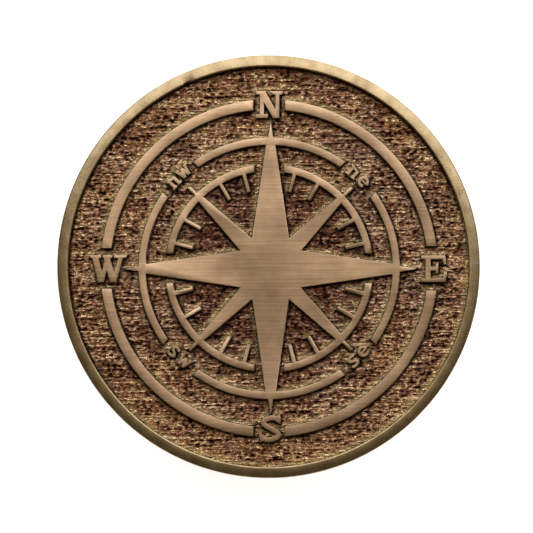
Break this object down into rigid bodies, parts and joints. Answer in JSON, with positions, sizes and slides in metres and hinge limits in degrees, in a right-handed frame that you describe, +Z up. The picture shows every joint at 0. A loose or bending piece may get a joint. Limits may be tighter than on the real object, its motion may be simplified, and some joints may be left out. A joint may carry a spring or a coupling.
{
  "type": "pocket sundial",
  "caption": "Round pocket compass sundial with a folding gnomon, under a hinged bronze lid that bears a raised compass rose in concentric broken rings.",
  "frame": {"origin": "middle of the base, on the surface that the case stands on", "axes": "+Z up through the lid, +Y north towards the lid's hinge, +X east"},
  "size_m": [0.07, 0.07, 0.0171],
  "materials": {
    "lid_bronze": "dark patinated casting, satin relief",
    "case_brass": "aged, turned",
    "hinge_brass": "aged, satin",
    "dial_brass": "satin",
    "dial_silvered": "silvered, matt",
    "steel": "polished",
    "blued_steel": "blued",
    "glass": "clear",
    "jewel": "polished"
  },
  "bodies": {
    "case": {"case_body": "case_brass", "dial_pillars": "case_brass", "dial_plate": "dial_silvered", "dial_screws": "steel", "compass_bowl": "case_brass", "bowl_screws": "steel", "compass_card": "dial_silvered", "compass_glass": "glass", "glass_ring": "dial_brass", "pivot_pin": "steel", "lifter_bracket": "dial_brass", "lifter_pin": "steel", "south_lug": "dial_brass", "north_lug": "dial_brass", "gnomon_spring": "blued_steel", "spring_screw": "steel", "case_hinge": "hinge_brass", "hinge_pin": "steel", "hinge_rivets": "hinge_brass"},
    "lid": {"lid": "lid_bronze", "lid_liner": "dial_brass", "liner_screws": "steel", "lid_hinge": "hinge_brass"},
    "gnomon": {"gnomon_frame": "dial_brass", "gnomon_pins": "steel", "style_rivet": "dial_brass"},
    "style": {"gnomon_style": "dial_silvered"},
    "lifted_cap": {"cap_jewel": "jewel"},
    "needle": {"compass_needle": "blued_steel", "needle_cap": "dial_brass", "needle_weight": "dial_brass"},
    "lifter": {"lifter_lever": "dial_brass"},
    "lock": {"lock_slide": "dial_brass", "lock_knob": "dial_brass"}
  },
  "joints": [
    {"name": "lid_fold", "type": "hinge", "parent": "case", "child": "lid", "pos_m": [0, 0.0332, 0.01225], "axis": [-1, 0, 0], "range_deg": [0, 120]},
    {"name": "gnomon_fold", "type": "hinge", "parent": "case", "child": "gnomon", "pos_m": [0, 0, 0.01155], "axis": [0, -1, 0], "range_deg": [0, 90]},
    {"name": "style_tilt", "type": "hinge", "parent": "gnomon", "child": "style", "pos_m": [0.0009, -0.0145, 0.0123], "axis": [0, 0, 1], "range_deg": [-10, 10]},
    {"name": "lock_slide", "type": "slide", "parent": "case", "child": "lock", "axis": [0.9205, -0.3907, 0], "range_m": [0, 0.004]},
    {"name": "lifter_tilt", "type": "hinge", "parent": "case", "child": "lifter", "pos_m": [-0.00488, -0.01151, 0.0046], "axis": [0.9205, -0.3907, 0], "range_deg": [0, 5]},
    {"name": "needle_lift", "type": "slide", "parent": "case", "child": "lifted_cap", "axis": [0, 0, 1], "range_m": [0, 0.0004]},
    {"name": "needle_spin", "type": "hinge", "parent": "lifted_cap", "child": "needle", "pos_m": [0, 0, 0.0071], "axis": [0, 0, 1], "continuous": true}
  ],
  "couplings": [
    {"joint": "gnomon_fold", "follows": "lid_fold", "ratio": 0.75},
    {"joint": "lifter_tilt", "follows": "lock_slide", "rad_per_m": 21.817},
    {"joint": "needle_lift", "follows": "lock_slide", "ratio": 0.1}
  ]
}
